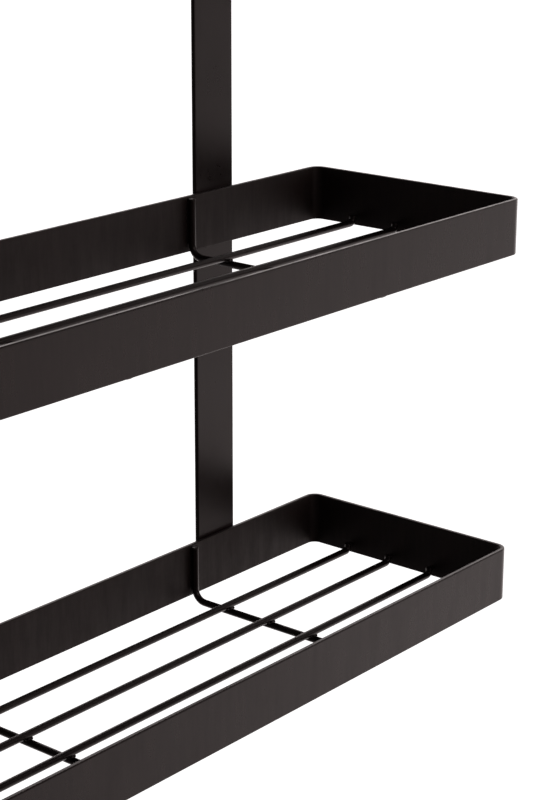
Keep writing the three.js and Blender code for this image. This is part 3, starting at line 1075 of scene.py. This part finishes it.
class RACK_OT_stage(bpy.types.Operator):
    """Set the floor, the lights and the camera"""

    bl_idname = "rack.stage"
    bl_label = "Stage"
    bl_options = {"REGISTER", "UNDO"}

    def execute(self, context):
        stage = context.scene.rack_stage
        self.add_floor(CAD_BOX[0][2] - stage.floor_drop)
        self.add_world(context.scene, stage)
        self.add_camera(context.scene, stage)
        context.scene.view_settings.view_transform = "Standard"
        return {"FINISHED"}

    def add_floor(self, level):
        """A wide pale floor that only the camera sees, so that it casts no light up onto the rack."""
        half = 25.0
        corners = [(-half, -half, level), (half, -half, level), (half, half, level), (-half, half, level)]
        mesh = bpy.data.meshes.new("floor")
        mesh.from_pydata(corners, [], [(0, 1, 2, 3)])
        material, surface, _ = new_material("floor_paint")
        surface.inputs["Base Color"].default_value = (0.86, 0.86, 0.86, 1.0)
        surface.inputs["Roughness"].default_value = 0.9
        surface.inputs["Emission Color"].default_value = (1.0, 1.0, 1.0, 1.0)
        surface.inputs["Emission Strength"].default_value = 1.0
        mesh.materials.append(material)
        floor = bpy.data.objects.new("floor", mesh)
        floor.visible_glossy = False
        floor.visible_diffuse = False
        floor.visible_shadow = False
        bpy.context.scene.collection.objects.link(floor)

    def add_world(self, scene, stage):
        """A white wall behind and to the right, a white floor that fades to the left, a soft light straight
        in front, and dark elsewhere. The camera itself sees plain white."""
        world = bpy.data.worlds.new("studio")
        world.use_nodes = True
        tree = world.node_tree
        wiring = Wiring(tree)
        heading = wiring.add("ShaderNodeTexCoord").outputs["Generated"]
        x, y, z = wiring.add("ShaderNodeSeparateXYZ", Vector=heading).outputs
        sideways = wiring.math("ADD", wiring.math("MULTIPLY", x, 0.8), wiring.math("MULTIPLY", y, 0.6))
        wall = wiring.math("MULTIPLY", wiring.ramp(sideways, *WALL_SIDEWAYS, 0.0, stage.wall_level),
                           wiring.ramp(z, *WALL_TOP, 1.0, 0.0))
        floor = wiring.math("MULTIPLY", wiring.ramp(x, *FLOOR_SIDEWAYS, 0.0, stage.floor_level),
                            wiring.ramp(z, *FLOOR_TOP, 1.0, 0.0))
        ahead = wiring.math("ADD", wiring.math("MULTIPLY", y, -0.97), wiring.math("MULTIPLY", z, 0.24))
        front = wiring.ramp(ahead, *FRONT_AHEAD, 0.0, stage.front_level)
        lit = wiring.math("MAXIMUM", wiring.math("MAXIMUM", wall, floor), front)
        strength = wiring.math("ADD", lit, stage.dark_level)
        surroundings = wiring.add("ShaderNodeBackground", Color=ROOM_COLOUR, Strength=strength)
        backdrop = tree.nodes["Background"]
        backdrop.inputs["Color"].default_value = BACKDROP_COLOUR
        backdrop.inputs["Strength"].default_value = BACKDROP_LEVEL
        seen = wiring.add("ShaderNodeLightPath").outputs["Is Camera Ray"]
        blend = wiring.add("ShaderNodeMixShader")
        wiring.feed(blend.inputs[0], seen)
        wiring.feed(blend.inputs[1], surroundings.outputs[0])
        wiring.feed(blend.inputs[2], backdrop.outputs[0])
        wiring.feed(tree.nodes["World Output"].inputs["Surface"], blend.outputs[0])
        scene.world = world

    def add_camera(self, scene, stage):
        """Aims the camera by its azimuth and drop, then turns it about its own axis by the roll."""
        azimuth, drop = stage.view_azimuth, stage.view_drop
        level = math.cos(drop)
        ahead = Vector((math.sin(azimuth) * level, math.cos(azimuth) * level, -math.sin(drop)))
        right = Vector((math.cos(azimuth), -math.sin(azimuth), 0.0))
        down = ahead.cross(right)
        roll = stage.view_roll
        turned_right = right * math.cos(roll) + down * math.sin(roll)
        turned_down = down * math.cos(roll) - right * math.sin(roll)
        aim = self.aim_point()
        data = bpy.data.cameras.new("camera")
        data.sensor_width = SENSOR_WIDTH_MM
        data.lens = stage.lens
        data.clip_start = 0.01
        data.clip_end = 100.0
        camera = bpy.data.objects.new("camera", data)
        axes = Matrix((turned_right, -turned_down, -ahead)).transposed()
        camera.matrix_world = Matrix.Translation(aim - ahead * stage.view_distance) @ axes.to_4x4()
        scene.collection.objects.link(camera)
        scene.camera = camera

    def aim_point(self):
        """The point that the view's middle line passes through: below the middle tray, right of centre."""
        low, _ = node_box("middle_tray_band")
        return Vector((*AIM_PLACE, low[2] - AIM_BELOW_TRAY))


class RACK_PT_panel(bpy.types.Panel):
    """List the steps and the settings"""

    bl_idname = "RACK_PT_panel"
    bl_label = "Wall Rack"
    bl_space_type = "VIEW_3D"
    bl_region_type = "UI"
    bl_category = "Wall Rack"

    def draw(self, context):
        layout = self.layout
        for step in STEPS:
            layout.operator(step.bl_idname)
        for name in SETTINGS:
            settings = getattr(context.scene, name)
            box = layout.box()
            for setting in settings.bl_rna.properties:
                if not setting.is_readonly and setting.identifier != "name":
                    box.prop(settings, setting.identifier)


STEPS = (
    RACK_OT_tray_strips,
    RACK_OT_long_wires,
    RACK_OT_cross_wires,
    RACK_OT_leg_welds,
    RACK_OT_crossing_welds,
    RACK_OT_uprights,
    RACK_OT_upright_welds,
    RACK_OT_wall_pads,
    RACK_OT_stage,
)


def register():
    """Add the settings, the operators and the panel."""
    for kind in (*SETTINGS.values(), *STEPS, RACK_PT_panel):
        bpy.utils.register_class(kind)
    for name, kind in SETTINGS.items():
        setattr(bpy.types.Scene, name, PointerProperty(type=kind))


def unregister():
    """Take away what register adds."""
    for name in SETTINGS:
        delattr(bpy.types.Scene, name)
    for kind in (RACK_PT_panel, *reversed(STEPS), *reversed(SETTINGS.values())):
        bpy.utils.unregister_class(kind)


def main():
    """Build every piece and the stage in order."""
    register()
    for step in STEPS:
        family, action = step.bl_idname.split(".")
        getattr(getattr(bpy.ops, family), action)()


if __name__ == "__main__":
    main()
